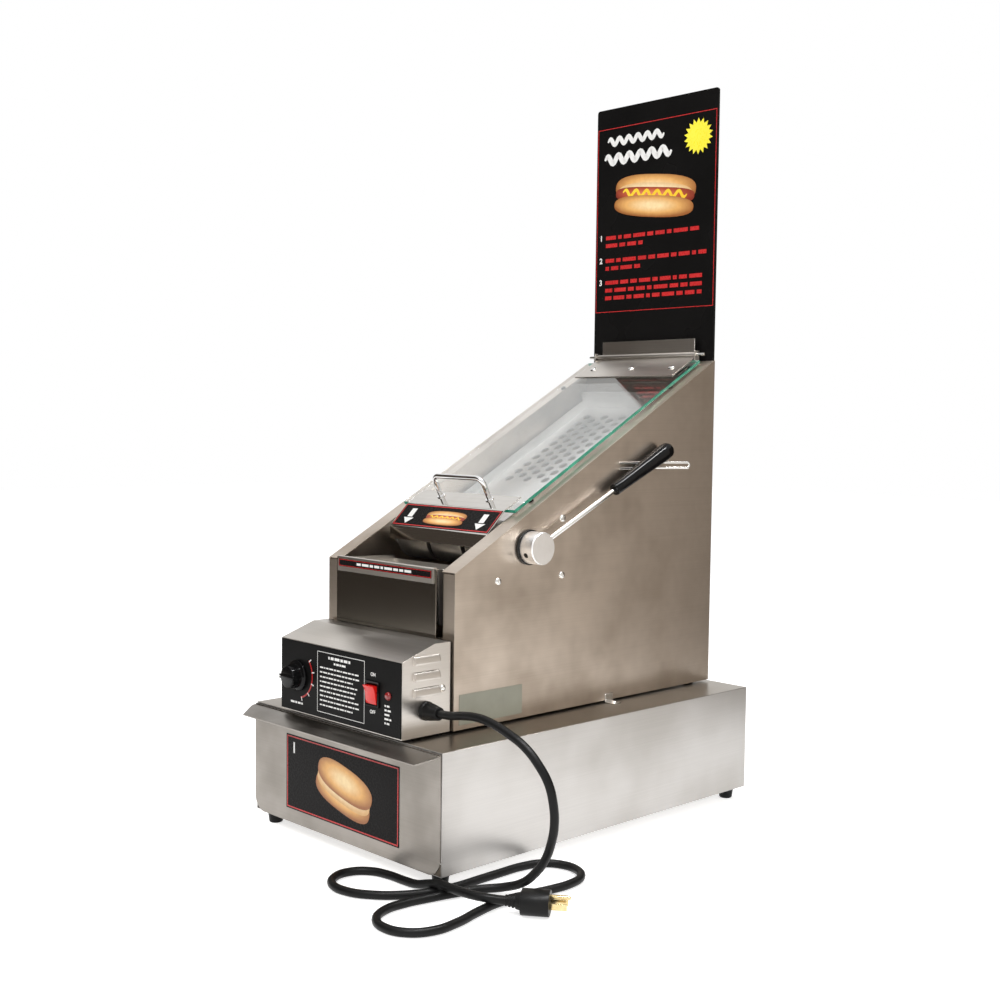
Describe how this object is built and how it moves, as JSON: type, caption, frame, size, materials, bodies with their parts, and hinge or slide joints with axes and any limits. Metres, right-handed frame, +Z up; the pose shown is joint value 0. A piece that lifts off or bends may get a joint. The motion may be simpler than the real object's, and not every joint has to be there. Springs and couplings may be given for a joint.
{
  "type": "hot dog steamer",
  "caption": "Counter-top hot dog steamer with a bun drawer, a sloped glass lid, a lever-turned dispensing drum, a bun tray, a front control box and an upright sign board.",
  "frame": {"origin": "on the floor plane under the middle of the object's bounding box, measured without the cord and its plug", "axes": "+Z up; -Y is the front, where the drawer and the controls are; +X is the side with the lever, to the right of a person who faces the front"},
  "size_m": [0.4661, 0.6319, 0.905],
  "materials": {
    "stainless": "brushed stainless sheet",
    "dark_steel": "dark smooth stainless sheet",
    "heater_sheath": "heat-darkened tube",
    "bright_steel": "bright drawn steel",
    "chrome": "polished chrome plate",
    "aluminium": "satin turned aluminium",
    "cast_drum": "fine cast aluminium",
    "rubber": "matt black rubber",
    "nylon": "satin black nylon",
    "black_plastic": "glossy black phenolic",
    "sign_plastic": "smooth printed plastic board",
    "control_face": "black printed metal plate",
    "red_plastic": "glossy red plastic",
    "lamp_red": "dark red translucent lens",
    "clear_glass": "clear tempered glass with green edges",
    "brass": "bright brass"
  },
  "bodies": {
    "cabinet": {"base_shell": "stainless", "base_feet": "rubber", "slide_rail_left": "stainless", "slide_rail_right": "stainless", "cabinet_pads": "rubber", "hold_down_clips": "stainless", "side_panel_left": "stainless", "side_panel_right": "stainless", "rear_panel": "stainless", "cabinet_floor": "stainless", "front_panel": "dark_steel", "bun_tray": "stainless", "hot_dog_tray": "stainless", "tray_rails": "stainless", "water_pan": "stainless", "heating_element": "heater_sheath", "shaft_bushings": "nylon", "lid_bumpers": "rubber", "panel_screws": "bright_steel", "lever_rest": "bright_steel", "hinge_pin": "bright_steel", "sign_holder": "stainless", "sign_board": "sign_plastic", "control_housing": "stainless", "face_plate": "control_face", "thermostat": "black_plastic", "switch_body": "black_plastic", "indicator_lamp": "lamp_red", "housing_screws": "bright_steel", "cord_bushing": "rubber", "power_cord": "rubber", "plug_body": "rubber", "plug_pins": "brass"},
    "drawer": {"drawer_front": "stainless", "drawer_pan": "stainless", "drawer_runners": "stainless"},
    "lid": {"lid_glass": "clear_glass", "clamp_plate": "stainless", "clamp_backing": "stainless", "clamp_screws": "bright_steel", "nose_plate": "stainless", "lid_handle": "chrome"},
    "lever": {"lever_hub": "aluminium", "hub_washer": "nylon", "lever_rod": "chrome", "lever_grip": "black_plastic", "drum_shaft": "bright_steel", "dispenser_drum": "cast_drum", "shaft_clip": "bright_steel"},
    "knob": {"control_knob": "black_plastic"},
    "rocker": {"switch_rocker": "red_plastic"}
  },
  "joints": [
    {"name": "drawer_slide", "type": "slide", "parent": "cabinet", "child": "drawer", "axis": [0, -1, 0], "range_m": [0, 0.38]},
    {"name": "lid_hinge", "type": "hinge", "parent": "cabinet", "child": "lid", "pos_m": [0, 0.25655, 0.56598], "axis": [-1, 0, 0], "range_deg": [0, 121]},
    {"name": "lever_turn", "type": "hinge", "parent": "cabinet", "child": "lever", "pos_m": [0, -0.0713, 0.337], "axis": [1, 0, 0], "range_deg": [0, 150]},
    {"name": "knob_turn", "type": "hinge", "parent": "cabinet", "child": "knob", "pos_m": [-0.074, -0.2517, 0.188], "axis": [0, 1, 0], "range_deg": [0, 260]},
    {"name": "rocker_tilt", "type": "hinge", "parent": "cabinet", "child": "rocker", "pos_m": [0.06, -0.2517, 0.188], "axis": [-1, 0, 0], "range_deg": [0, 16]}
  ]
}
